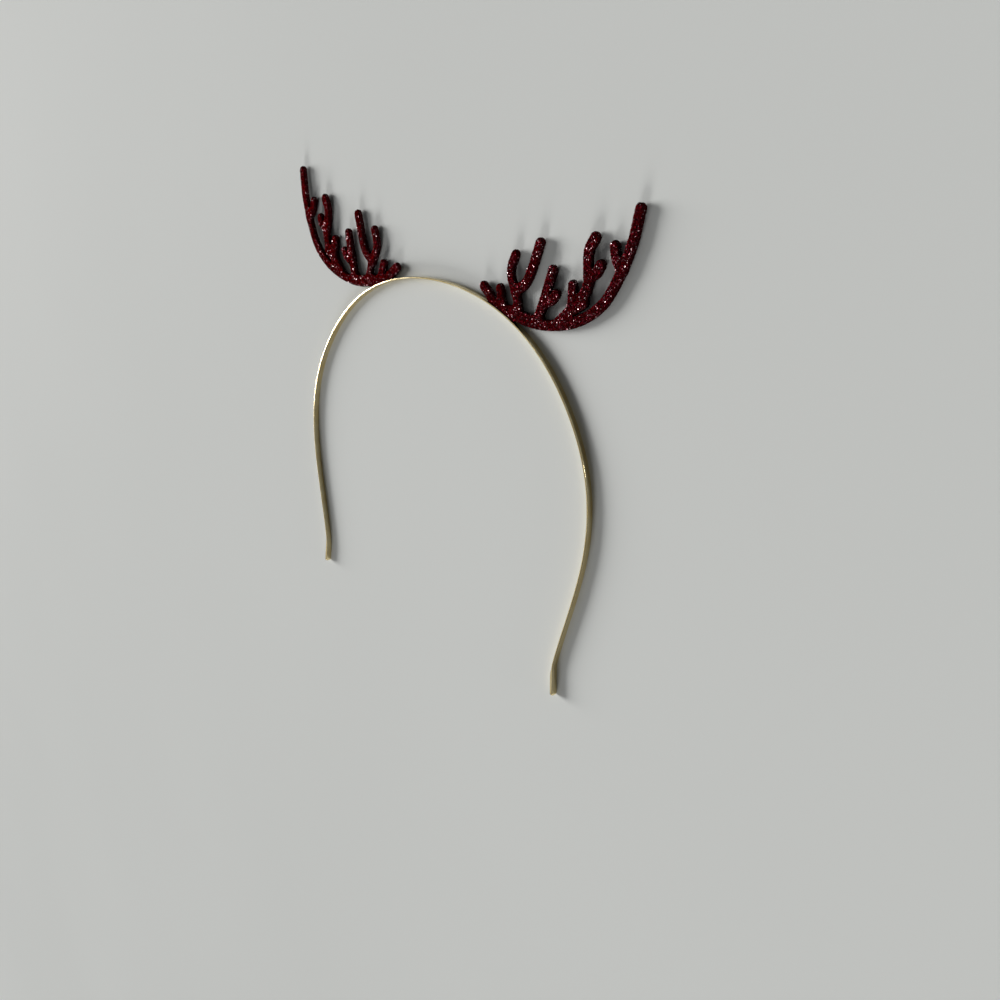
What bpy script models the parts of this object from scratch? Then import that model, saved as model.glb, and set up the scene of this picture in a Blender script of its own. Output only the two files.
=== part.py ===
# Reindeer antler headband: a thin polished gold metal band with two flat glitter antlers.
#
# It lies on its side, as it rests by itself: +X is the wearer's left, +Y is the wearer's up,
# and +Z is the wearer's front. The band's rear edge lies on z = 0, and the crown's centre line
# passes through x = 0, y = 0. Units are metres.

import math

import bmesh
import bpy
import numpy as np

# Band: a flat spring strip, standing on its rear edge
BAND_HALF_WIDTH = 0.0727        # centre line, from the middle to the widest point of an arm
BAND_DROP = 0.1132              # centre line, from the crown down to the bend above each end
BAND_WIDTH = 0.0022             # rear edge to front edge
BAND_THICKNESS = 0.0006
BAND_EDGE_CHAMFER = 0.0001
BAND_STEP = 0.0026              # spacing of the sections along the strip
ARM_POINTS = 400                # on the centre line of an arm, from which the sections are read

# Band ends: bent outwards, with the strip folded back on its inner side and its corners round
END_LENGTH = 0.0100
END_TURN = math.radians(17)
END_BEND_RADIUS = 0.005
END_CORNER_RADIUS = 0.0007
END_CORNER_SHARES = (0.08, 0.25, 0.5, 0.8, 1.0)   # sections round the corner, from tip to straight
END_POINTS = 60                 # on the centre line of an end
HEM_LENGTH = 0.0092             # how far the folded strip runs back from the tip
HEM_CUT = 0.0003                # length over which the fold's cut end fades into the strip

# How the strip's direction turns from level at the crown, by share of its length to the bend
BAND_TURN = (
    # share, degrees below level
    (0.000, 0.0),
    (0.130, 12.5),
    (0.260, 28.0),
    (0.390, 46.0),
    (0.520, 62.0),
    (0.645, 82.5),
    (0.770, 98.5),
    (0.885, 103.5),
    (1.000, 101.5),
)

# Antlers: flat plates cut to shape, standing on the band's outer face in the band's plane
ANTLER_FOOT_OUT = 0.0350        # from the middle of the band out to the antler's foot
ANTLER_REACH = 0.0438           # foot to the centre of the beam's tip, outwards
ANTLER_RISE = 0.0365            # foot to the centre of the beam's tip, upwards
ANTLER_THICKNESS = 0.0015
ANTLER_EDGE_CHAMFER = 0.00025
TINE_WIDTH = 0.0030
WEB = 0.0011                    # size of the webs that round off the forks
ANTLER_SETBACK = 0.00015        # from the band's front edge back to the antler's front face
GLUE_GAP = 0.0003               # between the antler's foot and the band's outer face
CURVE_STEPS = 4                 # pieces of a tine's centre line for each of its points
FOOT_LINE_STEPS = 4             # the foot follows every fourth point of the band's centre line
OUTLINE_STEP = 0.0004           # grid on which the antler's outline is found
OUTLINE_TOLERANCE = 0.000018    # how far the outline may run from the curve it follows

# Centre lines of the antler's beam and tines, from root to tip
TINES = (
    # name, width share, (hundredths of reach outwards, hundredths of rise upwards) ...
    ("beam", 1.00, ((-18, 10), (-5, 8.5), (18, 3), (41, 5), (63, 14), (79, 28.5), (89.5, 50),
                    (97.3, 76), (100.5, 100))),
    ("beam root", 1.10, ((0, 8), (12, 5), (26, 4.5))),
    ("foot", 1.00, ((-8, 7), (-4, 5), (-0.5, 3))),
    ("first twig", 1.00, ((-14, 8), (-21, 15), (-30, 24))),
    ("second twig", 0.95, ((-9.5, 10), (-11.5, 17), (-13.5, 25))),
    ("fork stem and inner prong", 0.95, ((5.5, 6), (4.5, 15.5), (1.5, 25.5), (-3, 34.5),
                                         (-3.5, 45), (-0.5, 54))),
    ("fork outer prong", 1.00, ((1.5, 25.5), (10.5, 32.5), (15.5, 44), (18.5, 55), (21.5, 66))),
    ("straight tine", 1.00, ((24.5, 6.5), (28, 19.5), (31.5, 33.5), (34.5, 47))),
    ("straight tine lobe", 0.90, ((29.5, 20.5), (36.5, 24.5), (39.5, 29.5))),
    ("branch", 1.05, ((43.5, 8), (51, 17), (57.5, 26), (63.5, 33.5), (66, 43.5), (64, 57.5),
                      (64, 66.5), (68, 76))),
    ("branch inner prong", 1.00, ((54.5, 20.5), (53.5, 29), (53, 38.5))),
    ("branch lobe", 1.00, ((65.5, 48.5), (71.5, 50.5), (74.5, 57))),
    ("branch stub", 0.90, ((59, 23), (64, 27))),
    ("beam prong", 1.00, ((91.5, 56), (86.2, 63.5), (84.2, 72))),
)

SMOOTH_ANGLE = math.radians(35)
SPLIT_SCALE = 1000


def clear_scene():
    for thing in list(bpy.data.objects):
        bpy.data.objects.remove(thing, do_unlink=True)


def smooth_curve(knots, values, places):
    """Read a smooth curve that runs through the values at the knots."""
    knots = np.asarray(knots, float)
    values = np.asarray(values, float)
    places = np.asarray(places, float)
    slopes = np.gradient(values, knots, axis=0)
    i = np.clip(np.searchsorted(knots, places, side="right") - 1, 0, len(knots) - 2)
    span = knots[i + 1] - knots[i]
    t = (places - knots[i]) / span
    if values.ndim == 2:
        span = span[:, None]
        t = t[:, None]
    from_start = (1 + 2 * t) * (1 - t) ** 2 * values[i] + t * (1 - t) ** 2 * span * slopes[i]
    from_end = t * t * (3 - 2 * t) * values[i + 1] + t * t * (t - 1) * span * slopes[i + 1]
    return from_start + from_end


def follow(headings, steps):
    """Walk along steps with the given headings and return the points passed."""
    moves = np.stack([np.cos(headings) * steps, -np.sin(headings) * steps], axis=1)
    return np.vstack([[0.0, 0.0], np.cumsum(moves, axis=0)])


def band_arm():
    """Centre line of one arm as (x, y) points, from the crown to the bend above its end."""
    share, degrees = np.array(BAND_TURN).T
    middles = (np.arange(ARM_POINTS) + 0.5) / ARM_POINTS
    points = follow(np.radians(smooth_curve(share, degrees, middles)), 1 / ARM_POINTS)
    size = np.array([BAND_HALF_WIDTH / points[:, 0].max(), -BAND_DROP / points[:, 1].min()])
    return points * size


def arm_with_end():
    """One arm's centre line down to its tip, with even steps."""
    arm = band_arm()
    last = arm[-1] - arm[-2]
    heading = math.atan2(-last[1], last[0])
    bend_length = END_TURN * END_BEND_RADIUS
    steps = np.full(END_POINTS, (bend_length + END_LENGTH) / END_POINTS)
    run = (np.arange(END_POINTS) + 0.5) * steps[0]
    turned = np.clip(run / bend_length, 0, 1) * END_TURN
    end = arm[-1] + follow(heading - turned, steps)
    return np.vstack([arm, end[1:]])


def run_along(points):
    lengths = np.hypot(*np.diff(points, axis=0).T)
    return np.concatenate([[0.0], np.cumsum(lengths)])


def read_line(points, places):
    run = run_along(points)
    return np.stack([np.interp(places, run, points[:, k]) for k in (0, 1)], axis=1)


def normals_of(points):
    """Unit normals on the outer side of a line that runs from the wearer's right to left."""
    along = np.gradient(points, axis=0)
    along /= np.hypot(*along.T)[:, None]
    return np.stack([-along[:, 1], along[:, 0]], axis=1)


def band_section(to_tip):
    """Corners of the strip's section as (outwards from the centre line, z), in order."""
    outer = BAND_THICKNESS / 2
    fold = np.clip((HEM_LENGTH - to_tip) / HEM_CUT, 0, 1)
    inner = -outer - BAND_THICKNESS * fold
    middle = (outer + inner) / 2
    half = (outer - inner) / 2
    if to_tip < half:
        half *= math.sqrt(1 - ((half - to_tip) / half) ** 2)
    inset = 0.0
    if to_tip < END_CORNER_RADIUS:
        inset = END_CORNER_RADIUS - math.sqrt(END_CORNER_RADIUS ** 2 - (END_CORNER_RADIUS - to_tip) ** 2)
    low, high = inset, BAND_WIDTH - inset
    cut = BAND_EDGE_CHAMFER
    return [
        (middle - half, low + cut), (middle - half + cut, low),
        (middle + half - cut, low), (middle + half, low + cut),
        (middle + half, high - cut), (middle + half - cut, high),
        (middle - half + cut, high), (middle - half, high - cut),
    ]


def band_places(length):
    """Where the strip has its sections, as distances from the crown."""
    tip = [length - share * END_CORNER_RADIUS for share in END_CORNER_SHARES]
    hem = [length - HEM_LENGTH, length - HEM_LENGTH + HEM_CUT]
    plain_end = length - HEM_LENGTH - BAND_STEP / 2
    plain = list(np.linspace(0, plain_end, math.ceil(plain_end / BAND_STEP) + 1))
    hem_start = length - HEM_LENGTH + HEM_CUT + BAND_STEP / 2
    hem_end = length - END_CORNER_RADIUS - BAND_STEP / 2
    hem_run = list(np.linspace(hem_start, hem_end, math.ceil((hem_end - hem_start) / BAND_STEP) + 1))
    return sorted(plain + hem + hem_run + tip)


def make_band(material):
    arm = arm_with_end()
    length = run_along(arm)[-1]
    places = band_places(length)
    both = [-place for place in reversed(places)] + places[1:]
    left = read_line(arm, np.abs(both))
    middle = np.stack([left[:, 0] * np.sign(both), left[:, 1]], axis=1)
    fine = np.vstack([arm[:0:-1] * [-1, 1], arm])
    fine_run = run_along(fine) - length
    fine_normals = normals_of(fine)
    sides = np.stack([np.interp(both, fine_run, fine_normals[:, k]) for k in (0, 1)], axis=1)
    sides /= np.hypot(*sides.T)[:, None]

    shape = bmesh.new()
    rings = []
    for place, centre, side in zip(both, middle, sides):
        ring = []
        for out, z in band_section(length - abs(place)):
            x, y = centre + side * out
            ring.append(shape.verts.new((x, y, z)))
        rings.append(ring)
    for ring, following in zip(rings, rings[1:]):
        for k in range(len(ring)):
            after = (k + 1) % len(ring)
            shape.faces.new((ring[k], ring[after], following[after], following[k]))
    shape.faces.new(rings[0][::-1])
    shape.faces.new(rings[-1])
    return finish("band", shape, material)


def distance_to_line(spots, line, radii):
    """Distance from each spot to a round-ended stroke along the line."""
    start, end = line[:-1], line[1:]
    along = end - start
    offset = spots[:, None, :] - start[None]
    t = np.clip((offset * along).sum(2) / (along ** 2).sum(1), 0, 1)
    gap = np.hypot(*np.moveaxis(offset - t[..., None] * along, 2, 0))
    radius = radii[:-1] + (radii[1:] - radii[:-1]) * t
    return (gap - radius).min(axis=1)


def height_over_band(spots, line):
    """Distance of each spot from the band's centre line, positive on its outer side."""
    start, end = line[:-1], line[1:]
    along = end - start
    offset = spots[:, None, :] - start[None]
    t = np.clip((offset * along).sum(2) / (along ** 2).sum(1), 0, 1)
    across = offset - t[..., None] * along
    gap = np.hypot(*np.moveaxis(across, 2, 0))
    nearest = gap.argmin(axis=1)
    rows = np.arange(len(spots))
    side = along[nearest, 0] * across[rows, nearest, 1] - along[nearest, 1] * across[rows, nearest, 0]
    return gap[rows, nearest] * np.sign(side)


def blend(a, b, size):
    """The nearer of two distances, with a rounded web where they are alike."""
    overlap = np.clip(size - np.abs(a - b), 0, None) / size
    return np.minimum(a, b) - overlap ** 2 * size / 4


def antler_field(spots, band_line):
    """Below zero inside the antler's outline, above zero outside it."""
    field = None
    for _, share, table in TINES:
        points = np.array(table) / 100 * [ANTLER_REACH, ANTLER_RISE]
        knots = run_along(points)
        line = smooth_curve(knots, points, np.linspace(0, knots[-1], CURVE_STEPS * len(points)))
        stroke = distance_to_line(spots, line, np.full(len(line), TINE_WIDTH / 2 * share))
        field = stroke if field is None else blend(field, stroke, WEB)
    foot = BAND_THICKNESS / 2 + GLUE_GAP - height_over_band(spots, band_line)
    return np.maximum(field, foot)


def trace_outline(band_line):
    """The antler's outline as (out, up) points, anticlockwise, found on a fine grid."""
    tips = np.array([point for _, _, table in TINES for point in table]) / 100
    tips *= [ANTLER_REACH, ANTLER_RISE]
    low = tips.min(axis=0) - TINE_WIDTH
    high = tips.max(axis=0) + TINE_WIDTH
    columns = np.arange(low[0], high[0], OUTLINE_STEP)
    rows = np.arange(low[1], high[1], OUTLINE_STEP)
    spots = np.stack(np.meshgrid(columns, rows, indexing="ij"), axis=-1)
    field = antler_field(spots.reshape(-1, 2), band_line).reshape(spots.shape[:2])
    inside = field < 0

    corners = ((0, 0), (1, 0), (1, 1), (0, 1))
    following = {}
    place = {}
    mixed = inside[:-1, :-1].astype(int) + inside[1:, :-1] + inside[1:, 1:] + inside[:-1, 1:]
    for i, j in zip(*np.nonzero((mixed > 0) & (mixed < 4))):
        leaving, entering = [], []
        for k in range(4):
            a = (i + corners[k][0], j + corners[k][1])
            b = (i + corners[(k + 1) % 4][0], j + corners[(k + 1) % 4][1])
            if inside[a] == inside[b]:
                continue
            edge = (min(a, b), max(a, b))
            t = field[a] / (field[a] - field[b])
            place[edge] = spots[a] * (1 - t) + spots[b] * t
            (leaving if inside[a] else entering).append((k, edge))
        for k, edge in leaving:
            following[edge] = min(entering, key=lambda cross: (cross[0] - k) % 4)[1]

    loops = []
    while following:
        first = next(iter(following))
        loop = [first]
        step = following.pop(first)
        while step != first:
            loop.append(step)
            step = following.pop(step)
        loops.append([place[edge] for edge in loop])
    return np.array(max(loops, key=len))


def thin_out(points):
    """Keep only the points that a line needs to stay within the outline's tolerance."""
    chord = points[-1] - points[0]
    offset = points - points[0]
    away = np.abs(chord[0] * offset[:, 1] - chord[1] * offset[:, 0]) / math.hypot(*chord)
    far = int(away.argmax())
    if away[far] < OUTLINE_TOLERANCE:
        return points[[0, -1]]
    return np.vstack([thin_out(points[:far + 1])[:-1], thin_out(points[far:])])


def simplify(outline):
    """Thin out a closed outline, in two halves that meet at its furthest points."""
    start = int(outline[:, 0].argmin())
    outline = np.roll(outline, -start, axis=0)
    far = int(outline[:, 0].argmax())
    closed = np.vstack([outline, outline[:1]])
    return np.vstack([thin_out(closed[:far + 1])[:-1], thin_out(closed[far:])[:-1]])


def inset_outline(outline, size):
    """Move each point of a closed outline inwards, square to its neighbours."""
    chord = np.roll(outline, -1, axis=0) - np.roll(outline, 1, axis=0)
    chord /= np.hypot(*chord.T)[:, None]
    return outline + np.stack([-chord[:, 1], chord[:, 0]], axis=1) * size


def make_antler(name, hand, band_line, foot, material):
    """One antler; hand is 1 for the wearer's left and -1 for the wearer's right."""
    outline = simplify(trace_outline(band_line - foot))
    inner = inset_outline(outline, ANTLER_EDGE_CHAMFER)
    if hand < 0:
        outline = (outline * [-1, 1])[::-1]
        inner = (inner * [-1, 1])[::-1]
    half = ANTLER_THICKNESS / 2
    shape = bmesh.new()
    rings = []
    for edge, z in ((inner, -half), (outline, -half + ANTLER_EDGE_CHAMFER),
                    (outline, half - ANTLER_EDGE_CHAMFER), (inner, half)):
        rings.append([shape.verts.new((x, y, z)) for x, y in edge])
    for ring, above in zip(rings, rings[1:]):
        for k in range(len(ring)):
            after = (k + 1) % len(ring)
            shape.faces.new((ring[k], ring[after], above[after], above[k]))
    shape.faces.new(rings[0][::-1])
    shape.faces.new(rings[-1])
    antler = finish(name, shape, material)
    antler.location = (hand * foot[0], foot[1], BAND_WIDTH - ANTLER_SETBACK - half)
    return antler


def finish(name, shape, material):
    """Split the faces into triangles, at a size where rounding does no harm, and make the object."""
    bmesh.ops.scale(shape, vec=[SPLIT_SCALE] * 3, verts=shape.verts[:])
    bmesh.ops.triangulate(shape, faces=shape.faces[:])
    bmesh.ops.scale(shape, vec=[1 / SPLIT_SCALE] * 3, verts=shape.verts[:])
    bmesh.ops.recalc_face_normals(shape, faces=shape.faces[:])
    mesh = bpy.data.meshes.new(name)
    shape.to_mesh(mesh)
    shape.free()
    mesh.materials.append(material)
    mesh.shade_smooth()
    mesh.set_sharp_from_angle(angle=SMOOTH_ANGLE)
    thing = bpy.data.objects.new(name, mesh)
    bpy.context.scene.collection.objects.link(thing)
    return thing


def make_material(name, colour, roughness, metallic):
    material = bpy.data.materials.new(name)
    material.use_nodes = True
    shader = material.node_tree.nodes["Principled BSDF"]
    shader.inputs["Base Color"].default_value = (*colour, 1)
    shader.inputs["Roughness"].default_value = roughness
    shader.inputs["Metallic"].default_value = metallic
    return material


def main():
    clear_scene()
    gold = make_material("polished_gold", (0.80, 0.62, 0.36), 0.12, 1.0)
    glitter = make_material("burgundy_glitter", (0.20, 0.008, 0.022), 0.45, 0.0)
    make_band(gold)

    arm = band_arm()
    to_widest = arm[:arm[:, 0].argmax() + 1]
    foot_run = np.interp(ANTLER_FOOT_OUT, to_widest[:, 0], run_along(to_widest))
    foot = read_line(arm, [foot_run])[0]
    crown_and_arm = np.vstack([arm[:0:-1] * [-1, 1], arm])[::FOOT_LINE_STEPS]
    make_antler("antler_left", 1, crown_and_arm, foot, glitter)
    make_antler("antler_right", -1, crown_and_arm, foot, glitter)


main()
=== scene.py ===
import math

import bmesh
import bpy
from mathutils import Matrix, Vector
from mathutils.bvhtree import BVHTree


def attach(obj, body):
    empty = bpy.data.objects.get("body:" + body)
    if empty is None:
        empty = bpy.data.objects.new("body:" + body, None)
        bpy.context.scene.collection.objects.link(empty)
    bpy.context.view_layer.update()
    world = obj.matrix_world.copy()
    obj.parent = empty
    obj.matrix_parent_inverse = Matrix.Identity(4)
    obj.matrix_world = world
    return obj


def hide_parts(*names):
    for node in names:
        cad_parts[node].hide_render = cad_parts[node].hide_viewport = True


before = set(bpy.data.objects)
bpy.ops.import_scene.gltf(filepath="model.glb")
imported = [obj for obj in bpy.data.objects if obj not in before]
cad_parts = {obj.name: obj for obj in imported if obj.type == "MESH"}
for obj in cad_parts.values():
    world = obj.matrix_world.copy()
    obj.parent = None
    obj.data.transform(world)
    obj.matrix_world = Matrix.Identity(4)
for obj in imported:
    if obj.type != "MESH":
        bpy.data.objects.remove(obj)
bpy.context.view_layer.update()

print("frame loaded:", ", ".join(sorted(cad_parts)))

samePlace = 0.000002             # points of a mesh nearer than this, in metres, are one point


# small helpers for working by hand

def pickOnly(thing):
    if bpy.context.object and bpy.context.object.mode != "OBJECT":
        bpy.ops.object.mode_set(mode="OBJECT")
    bpy.ops.object.select_all(action="DESELECT")
    thing.select_set(True)
    bpy.context.view_layer.objects.active = thing


def copyOfNode(nodeName, pieceName):
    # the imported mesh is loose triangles, so the copy is merged before it is shaped
    piece = bpy.data.objects.new(pieceName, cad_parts[nodeName].data.copy())
    bpy.context.scene.collection.objects.link(piece)
    piece.data.name = pieceName
    piece.data.materials.clear()
    pickOnly(piece)
    bpy.ops.mesh.customdata_custom_splitnormals_clear()
    bpy.ops.object.mode_set(mode="EDIT")
    bpy.ops.mesh.select_all(action="SELECT")
    bpy.ops.mesh.remove_doubles(threshold=samePlace)
    bpy.ops.object.mode_set(mode="OBJECT")
    return piece


def applyModifier(piece, kind, **settings):
    pickOnly(piece)
    modifier = piece.modifiers.new(kind.title(), kind)
    for key, value in settings.items():
        setattr(modifier, key, value)
    bpy.ops.object.modifier_apply(modifier=modifier.name)


# small helpers for materials and geometry nodes

def fillInputs(tree, node, inputs):
    # inputs: socket name or number -> a value, or an output socket to link from
    for key, value in inputs.items():
        if isinstance(value, bpy.types.NodeSocket):
            tree.links.new(value, node.inputs[key])
        else:
            node.inputs[key].default_value = value


def addNode(tree, kind, inputs=None, **settings):
    node = tree.nodes.new(kind)
    for key, value in settings.items():
        setattr(node, key, value)
    fillInputs(tree, node, inputs or {})
    return node


def addMath(tree, operation, first, second):
    return addNode(tree, "ShaderNodeMath", {0: first, 1: second}, operation=operation).outputs[0]


def addNoise(tree, place, scale, detail, roughness=0.5):
    return addNode(tree, "ShaderNodeTexNoise",
                   {"Vector": place, "Scale": scale, "Detail": detail,
                    "Roughness": roughness}).outputs["Fac"]


def addSpread(tree, value, fromPair, toPair, **settings):
    # spreads a value that runs between one pair of numbers over another pair
    return addNode(tree, "ShaderNodeMapRange",
                   {"Value": value, "From Min": fromPair[0], "From Max": fromPair[1],
                    "To Min": toPair[0], "To Max": toPair[1]}, **settings).outputs["Result"]


def addBump(tree, height, strength, depth):
    return addNode(tree, "ShaderNodeBump",
                   {"Height": height, "Strength": strength, "Distance": depth}).outputs["Normal"]


def addRamp(tree, factor, stops, interpolation="LINEAR"):
    # stops: (place, colour), in rising order of place
    ramp = addNode(tree, "ShaderNodeValToRGB", {"Fac": factor})
    ramp.color_ramp.interpolation = interpolation
    elements = ramp.color_ramp.elements
    while len(elements) < len(stops):
        elements.new(0.5)
    for element, (place, colour) in zip(elements, stops):
        element.position = place
        element.color = (*colour, 1)
    return ramp.outputs["Color"]


def startMaterial(name):
    # gives the material, its nodes, its shader, and the place on the object for the patterns
    material = bpy.data.materials.new(name)
    material.use_nodes = True
    tree = material.node_tree
    place = addNode(tree, "ShaderNodeTexCoord").outputs["Object"]
    return material, tree, tree.nodes["Principled BSDF"], place


# the gold band: one thin strip of spring metal, bent to an open loop

goldBand = {
    "quadAngle": math.radians(60),   # triangles that meet flatter than this are joined in pairs
    "roundLevels": 2,                # subdivision, which takes the strip's edges round
    "smoothAngle": math.radians(40),
    "loopMiddle": (0.0, -0.055, 0.0),    # the strip's outer face looks away from here
    "mostSlant": 0.3,                # a point is raised only where its normal rises less than this
    # the rolled profile of the outer face: height above the floor, and how proud it stands
    "profile": (
        (0.00030, 0.000006),
        (0.00055, 0.000016),
        (0.00072, 0.000006),
        (0.00090, 0.000022),
        (0.00110, 0.000026),
        (0.00130, 0.000022),
        (0.00148, 0.000006),
        (0.00165, 0.000016),
        (0.00190, 0.000006),
    ),
    "colour": (0.90, 0.77, 0.47),
    "warmColour": (0.84, 0.68, 0.36),
    "polish": 0.10,                  # roughness where it is brightest
    "worn": 0.17,                    # roughness where handling has dulled it
    "cloudScale": 160.0,             # how finely the metal is clouded
    "warmToPale": (0.35, 0.62),      # where in a cloud the colour turns
    "brightToWorn": (0.35, 0.7),     # where in a cloud the polish turns
    "linesAlong": 6.0,               # rolling lines: how fast they change to a radian round the loop
    "linesAcross": 5200.0,           # and to a metre across the strip
    "lineStrength": 0.12,
    "lineDepth": 0.00004,
}


def polishedGold():
    material, tree, shader, place = startMaterial("polished light gold")
    # angle round the loop and height on the strip, so that the rolling lines follow it
    centred = addNode(tree, "ShaderNodeVectorMath", {0: place, 1: goldBand["loopMiddle"]},
                      operation="SUBTRACT").outputs[0]
    split = addNode(tree, "ShaderNodeSeparateXYZ", {0: centred}).outputs
    angle = addMath(tree, "ARCTAN2", split["X"], split["Y"])
    along = addMath(tree, "MULTIPLY", angle, goldBand["linesAlong"])
    across = addMath(tree, "MULTIPLY", split["Z"], goldBand["linesAcross"])
    lined = addNode(tree, "ShaderNodeCombineXYZ", {"X": along, "Y": across}).outputs[0]
    lines = addNoise(tree, lined, scale=1.0, detail=3.0, roughness=0.6)
    clouds = addNoise(tree, place, goldBand["cloudScale"], detail=4.0, roughness=0.55)
    warmEnd, paleEnd = goldBand["warmToPale"]
    fillInputs(tree, shader, {
        "Base Color": addRamp(tree, clouds, ((warmEnd, goldBand["warmColour"]),
                                             (paleEnd, goldBand["colour"]))),
        "Metallic": 1.0,
        "Roughness": addSpread(tree, clouds, goldBand["brightToWorn"],
                               (goldBand["polish"], goldBand["worn"])),
        "Normal": addBump(tree, lines, goldBand["lineStrength"], goldBand["lineDepth"]),
    })
    return material


def raiseOuterLine(band, height, proud):
    # cut a line round the strip at this height, and raise it on the outer face alone
    bpy.ops.mesh.select_all(action="SELECT")
    bpy.ops.mesh.bisect(plane_co=(0, 0, height), plane_no=(0, 0, 1))
    bpy.ops.mesh.select_all(action="DESELECT")
    cage = bmesh.from_edit_mesh(band.data)
    middle = Vector(goldBand["loopMiddle"])
    for vertex in cage.verts:
        level = abs(vertex.co.z - height) < samePlace
        outwards = vertex.normal.dot(vertex.co - middle) > 0
        vertex.select = level and outwards and abs(vertex.normal.z) < goldBand["mostSlant"]
    cage.select_flush(True)
    bmesh.update_edit_mesh(band.data)
    bpy.ops.transform.shrink_fatten(value=proud)


def makeBand():
    band = copyOfNode("band", "gold_band")
    bpy.ops.object.mode_set(mode="EDIT")
    bpy.ops.mesh.select_all(action="SELECT")
    bpy.ops.mesh.tris_convert_to_quads(face_threshold=goldBand["quadAngle"],
                                       shape_threshold=goldBand["quadAngle"])
    for height, proud in goldBand["profile"]:
        raiseOuterLine(band, height, proud)
    bpy.ops.object.mode_set(mode="OBJECT")
    applyModifier(band, "SUBSURF", levels=goldBand["roundLevels"],
                  render_levels=goldBand["roundLevels"])
    bpy.ops.object.shade_smooth_by_angle(angle=goldBand["smoothAngle"])
    band.data.materials.append(polishedGold())
    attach(band, "root")
    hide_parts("band")
    print("band made:", len(band.data.polygons), "faces")
    return band


# the antlers: stiff plates cut to shape, with glitter set in their coating all over

antlerPlate = {
    "footReach": 0.000375,           # points of the plate nearer to the strip than this meet it
    "voxel": 0.0002,                 # grain of the remesh that gives the coating its even skin
    "roundSteps": 4,                 # smoothing passes that take the cut edges round
    "roundPull": 0.5,                # how far each pass moves a point
    "coatLump": 0.00030,             # how far the coating swells and sinks on the cut edges
    "coatRest": 0.35,                # share of that which sinks
    "coatGrain": 0.0007,             # size of those swells
    "faceShare": 0.35,               # how much of it shows on the flat faces
    "colour": (0.045, 0.0010, 0.0016),
    "grainColour": (0.12, 0.0040, 0.0080),
    "grainScale": 5200.0,            # grains to a metre, in the coat under the flakes
    "plainShare": 0.6,               # share of the grains that keep the plain colour
    "metal": 0.35,
    "roughness": (0.55, 0.3),        # of the dimmest and the brightest grain
    "grainBump": 0.6,
    "grainDepth": 0.00005,
}

glitter = {
    "flake": 0.000158,               # from a flake's middle to its corner
    "corners": 6,
    "depth": 0.00005,                # from a flake's face down to its point
    "spacing": 0.000230,             # least distance between the middles of two flakes
    "most": 30e6,                    # flakes to a square metre before spacing thins them
    "tilt": math.radians(30),
    "smallest": 0.7,
    "largest": 1.15,
    "seed": 11,                      # of the first random draw; the others take the next ones
    "roughness": (0.196, 0.42),      # least and most, as a thin film clouds the flakes
    "filmScale": 900.0,
    "filmSpread": (0.3, 0.7),        # where in the film's clouds those two are reached
    "rim": (0.40, 0.26, 0.28),       # what a flake mirrors at its most slanted
    "toneName": "flakeTone",         # each flake carries its tone, from 0 to 1, under this name
    "tones": (                       # share of flakes that are darker, and this tone's colour
        (0.00, (0.016, 0.0045, 0.0060)),
        (0.28, (0.022, 0.0060, 0.0080)),
        (0.58, (0.033, 0.0085, 0.0110)),
        (0.80, (0.070, 0.0260, 0.0310)),
        (0.905, (0.200, 0.118, 0.132)),
        (0.970, (0.480, 0.390, 0.400)),
    ),
}


def burgundyCoat():
    material, tree, shader, place = startMaterial("burgundy glitter coat")
    cells = addNode(tree, "ShaderNodeTexVoronoi",
                    {"Vector": place, "Scale": antlerPlate["grainScale"]}).outputs["Color"]
    grain = addNode(tree, "ShaderNodeSeparateColor", {"Color": cells}).outputs["Red"]
    fillInputs(tree, shader, {
        "Base Color": addRamp(tree, grain, ((0.0, antlerPlate["colour"]),
                                            (antlerPlate["plainShare"], antlerPlate["colour"]),
                                            (1.0, antlerPlate["grainColour"]))),
        "Metallic": antlerPlate["metal"],
        "Specular IOR Level": 0.0,       # the resin shows no gloss of its own
        "Specular Tint": (*glitter["rim"], 1),
        "Roughness": addSpread(tree, grain, (0.0, 1.0), antlerPlate["roughness"]),
        "Normal": addBump(tree, grain, antlerPlate["grainBump"], antlerPlate["grainDepth"]),
    })
    return material


def glitterFlakes():
    material, tree, shader, place = startMaterial("burgundy glitter flakes")
    tone = addNode(tree, "ShaderNodeAttribute", attribute_name=glitter["toneName"]).outputs["Fac"]
    film = addNoise(tree, place, glitter["filmScale"], detail=2.0)
    fillInputs(tree, shader, {
        "Base Color": addRamp(tree, tone, glitter["tones"], "CONSTANT"),
        "Metallic": 1.0,
        "Specular Tint": (*glitter["rim"], 1),
        "Roughness": addSpread(tree, film, glitter["filmSpread"], glitter["roughness"]),
    })
    return material


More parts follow.
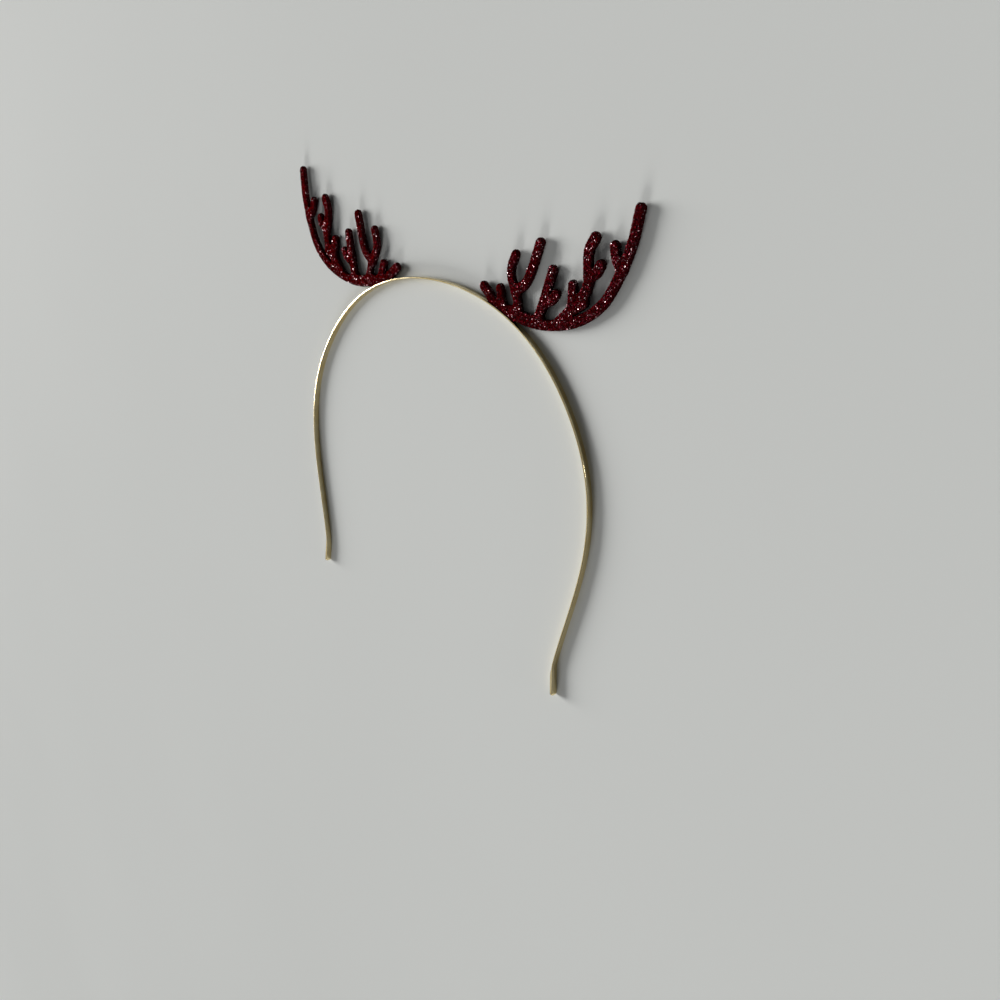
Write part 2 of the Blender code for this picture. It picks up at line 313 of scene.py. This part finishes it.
def flakeNodes(flakeMaterial):
    # geometry nodes: a flake on each spaced-out point of the skin, tilted and toned at random
    tree = bpy.data.node_groups.new("glitter flakes", "GeometryNodeTree")
    tree.interface.new_socket("Geometry", in_out="INPUT", socket_type="NodeSocketGeometry")
    tree.interface.new_socket("Geometry", in_out="OUTPUT", socket_type="NodeSocketGeometry")
    skin = tree.nodes.new("NodeGroupInput").outputs[0]
    spots = addNode(tree, "GeometryNodeDistributePointsOnFaces",
                    {"Mesh": skin, "Distance Min": glitter["spacing"],
                     "Density Max": glitter["most"], "Seed": glitter["seed"]},
                    distribute_method="POISSON").outputs
    flake = addNode(tree, "GeometryNodeMeshCone",
                    {"Vertices": glitter["corners"], "Radius Top": glitter["flake"],
                     "Radius Bottom": 0.0, "Depth": glitter["depth"]},
                    fill_type="NGON").outputs["Mesh"]
    # sockets 2 and 3 of a random number are its least and most, and 0 and 1 of a random vector
    sizes = addNode(tree, "FunctionNodeRandomValue",
                    {2: glitter["smallest"], 3: glitter["largest"], "Seed": glitter["seed"] + 1},
                    data_type="FLOAT").outputs[1]
    placed = addNode(tree, "GeometryNodeInstanceOnPoints",
                     {"Points": spots["Points"], "Instance": flake,
                      "Rotation": spots["Rotation"], "Scale": sizes}).outputs["Instances"]
    tilt = glitter["tilt"]
    lean = addNode(tree, "FunctionNodeRandomValue",
                   {0: (-tilt, -tilt, 0), 1: (tilt, tilt, math.tau), "Seed": glitter["seed"] + 2},
                   data_type="FLOAT_VECTOR").outputs[0]
    leaning = addNode(tree, "GeometryNodeRotateInstances",
                      {"Instances": placed, "Rotation": lean}).outputs["Instances"]
    tones = addNode(tree, "FunctionNodeRandomValue", {"Seed": glitter["seed"] + 3},
                    data_type="FLOAT").outputs[1]
    toned = addNode(tree, "GeometryNodeStoreNamedAttribute",
                    {"Geometry": leaning, "Name": glitter["toneName"], "Value": tones},
                    data_type="FLOAT", domain="INSTANCE").outputs["Geometry"]
    real = addNode(tree, "GeometryNodeRealizeInstances", {"Geometry": toned}).outputs["Geometry"]
    painted = addNode(tree, "GeometryNodeSetMaterial",
                      {"Geometry": real, "Material": flakeMaterial}).outputs["Geometry"]
    tree.links.new(painted, tree.nodes.new("NodeGroupOutput").inputs[0])
    return tree


def drawFootDown(plate, band):
    # the plate's cut foot follows the strip, so each point near it moves level onto the metal
    strip = BVHTree.FromPolygons([vertex.co[:] for vertex in band.data.vertices],
                                 [face.vertices[:] for face in band.data.polygons])
    for vertex in plate.data.vertices:
        nearest, _, _, gap = strip.find_nearest(vertex.co)
        if gap < antlerPlate["footReach"]:
            vertex.co += Vector((nearest.x - vertex.co.x, nearest.y - vertex.co.y, 0))


def makeAntler(side, band, coat, flakeTree):
    nodeName = "antler_" + side
    plate = copyOfNode(nodeName, nodeName + "_plate")
    drawFootDown(plate, band)
    applyModifier(plate, "REMESH", mode="VOXEL", voxel_size=antlerPlate["voxel"])
    applyModifier(plate, "SMOOTH", factor=antlerPlate["roundPull"],
                  iterations=antlerPlate["roundSteps"])
    # the coating lies in lumps on the cut edges, and less so where the plate is flat
    edges = plate.vertex_groups.new(name="cut edges")
    for vertex in plate.data.vertices:
        flat = abs(vertex.normal.z)
        edges.add([vertex.index], 1 - flat * (1 - antlerPlate["faceShare"]), "REPLACE")
    swell = bpy.data.textures.new("coat swell " + side, "CLOUDS")
    swell.noise_scale = antlerPlate["coatGrain"]
    applyModifier(plate, "DISPLACE", texture=swell, texture_coords="LOCAL",
                  vertex_group="cut edges", strength=antlerPlate["coatLump"],
                  mid_level=antlerPlate["coatRest"])
    bpy.ops.object.shade_smooth()
    plate.data.materials.append(coat)

    flakes = plate.copy()
    flakes.data = plate.data.copy()
    flakes.name = nodeName + "_glitter"
    bpy.context.scene.collection.objects.link(flakes)
    applyModifier(flakes, "NODES", node_group=flakeTree)
    bpy.ops.object.shade_flat()

    for piece in (plate, flakes):
        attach(piece, "root")
    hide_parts(nodeName)
    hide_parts(nodeName)
    flakeFaces = glitter["corners"] + 1      # a side from each edge to the point, and the top
    print(nodeName, "made:", len(plate.data.polygons), "skin faces,",
          len(flakes.data.polygons) // flakeFaces, "flakes")


# floor, light and camera

studio = {
    "floorSize": 6.0,
    "floorColour": (0.72, 0.745, 0.74),
    "floorShade": 0.97,              # the floor's darker clouds, as a share of its colour
    "floorClouds": 3.0,              # how finely it is clouded
    "darkToLight": (0.3, 0.7),       # where in a cloud the floor is darkest and lightest
    "floorRoughness": 0.85,
    "floorGloss": 0.03,              # matt, so it throws no glare
    "surround": (0.62, 0.64, 0.635),
    "evenLight": 0.04,               # from all round
    "panelLight": 0.50,              # the pale panel that the strip's front edge mirrors
    "panelFrom": (-0.70, -0.28, 0.62),
    "panelFade": (0.87, 0.96),       # cosines of the angles where the panel starts and is full
    "lights": (
        # name, shines from (x, y, z), degrees across, strength, colour
        ("key", (-0.95, -0.02, 0.30), 28, 4.7, (1.0, 0.98, 0.95)),
        ("low", (-0.08, -0.95, 0.30), 24, 1.7, (1.0, 0.98, 0.95)),
        ("fill", (0.94, 0.25, 0.055), 9, 0.45, (1.0, 0.98, 0.96)),
    ),
    # a ring of small lamps high on one side, which the flakes catch one by one
    "glints": 6,
    "glintsFrom": (-0.66, -0.36, 0.66),
    "glintRing": math.radians(26),
    "glintAcross": 7,
    "glintStrength": 0.02,
    "glintColour": (1.0, 1.0, 1.0),
}

cameraSetup = {
    "place": (0.2320, 0.0414, 0.1999),
    "lookAt": (0.0171, -0.0753, -0.0165),
    "topOfFrame": (-0.2977, 0.9320, -0.2067),    # this direction leads up the picture
    "lens": 33.06,                   # in mm, for a sensor of this breadth
    "sensor": 36.0,
    "nearest": 0.01,                 # in metres: it sees nothing nearer than this
}


def paleFloor():
    material, tree, shader, place = startMaterial("pale floor")
    cloud = addNoise(tree, place, studio["floorClouds"], detail=2.0)
    light = studio["floorColour"]
    dark = tuple(channel * studio["floorShade"] for channel in light)
    darkEnd, lightEnd = studio["darkToLight"]
    fillInputs(tree, shader, {
        "Base Color": addRamp(tree, cloud, ((darkEnd, dark), (lightEnd, light))),
        "Roughness": studio["floorRoughness"],
        "Specular IOR Level": studio["floorGloss"],
    })
    return material


def addSun(name, shinesFrom, across, strength, colour):
    lamp = bpy.data.lights.new(name, "SUN")
    lamp.angle = math.radians(across)
    lamp.energy = strength
    lamp.color = colour
    holder = bpy.data.objects.new(name, lamp)
    holder.location = shinesFrom
    holder.rotation_euler = Vector(shinesFrom).to_track_quat("Z", "Y").to_euler()
    bpy.context.scene.collection.objects.link(holder)


def makeWorld():
    # even light and one broad pale panel, with a plain pale surround seen behind it all
    world = bpy.data.worlds.new("soft studio")
    world.use_nodes = True
    tree = world.node_tree
    direction = addNode(tree, "ShaderNodeTexCoord").outputs["Generated"]
    towards = addNode(tree, "ShaderNodeVectorMath",
                      {0: direction, 1: Vector(studio["panelFrom"]).normalized()},
                      operation="DOT_PRODUCT").outputs["Value"]
    panel = addSpread(tree, towards, studio["panelFade"],
                      (studio["evenLight"], studio["panelLight"]), interpolation_type="SMOOTHSTEP")
    glow = tree.nodes["Background"]
    fillInputs(tree, glow, {"Color": (1.0, 1.0, 1.0, 1), "Strength": panel})
    surround = addNode(tree, "ShaderNodeBackground",
                       {"Color": (*studio["surround"], 1), "Strength": 1.0})
    seen = addNode(tree, "ShaderNodeLightPath").outputs["Is Camera Ray"]
    mixed = addNode(tree, "ShaderNodeMixShader",
                    {0: seen, 1: glow.outputs[0], 2: surround.outputs[0]})
    tree.links.new(mixed.outputs[0], tree.nodes["World Output"].inputs["Surface"])
    bpy.context.scene.world = world


def makeStudio():
    bpy.ops.object.select_all(action="DESELECT")
    bpy.ops.mesh.primitive_plane_add(size=studio["floorSize"], location=(0, 0, 0))
    floor = bpy.context.object
    floor.name = "floor"
    floor.data.materials.append(paleFloor())

    makeWorld()
    for name, place, across, strength, colour in studio["lights"]:
        addSun(name, place, across, strength, colour)
    middle = Vector(studio["glintsFrom"]).normalized()
    outwards = middle.cross((0, 1, 0)).normalized() * math.tan(studio["glintRing"])
    for number in range(studio["glints"]):
        around = Matrix.Rotation(math.tau * number / studio["glints"], 3, middle)
        addSun("glint %d" % number, middle + around @ outwards, studio["glintAcross"],
               studio["glintStrength"], studio["glintColour"])
    bpy.context.scene.view_settings.view_transform = "Standard"
    print("floor and lights made")


def makeCamera():
    lens = bpy.data.cameras.new("camera")
    lens.lens = cameraSetup["lens"]
    lens.sensor_width = cameraSetup["sensor"]
    lens.clip_start = cameraSetup["nearest"]
    camera = bpy.data.objects.new("camera", lens)
    place = Vector(cameraSetup["place"])
    ahead = (Vector(cameraSetup["lookAt"]) - place).normalized()
    right = ahead.cross(Vector(cameraSetup["topOfFrame"])).normalized()
    up = right.cross(ahead)
    camera.location = place
    camera.rotation_euler = Matrix((right, up, -ahead)).transposed().to_euler()
    bpy.context.scene.collection.objects.link(camera)
    bpy.context.scene.camera = camera
    print("camera set")


band = makeBand()
coat = burgundyCoat()
flakeTree = flakeNodes(glitterFlakes())
for side in ("left", "right"):
    makeAntler(side, band, coat, flakeTree)
makeStudio()
makeCamera()
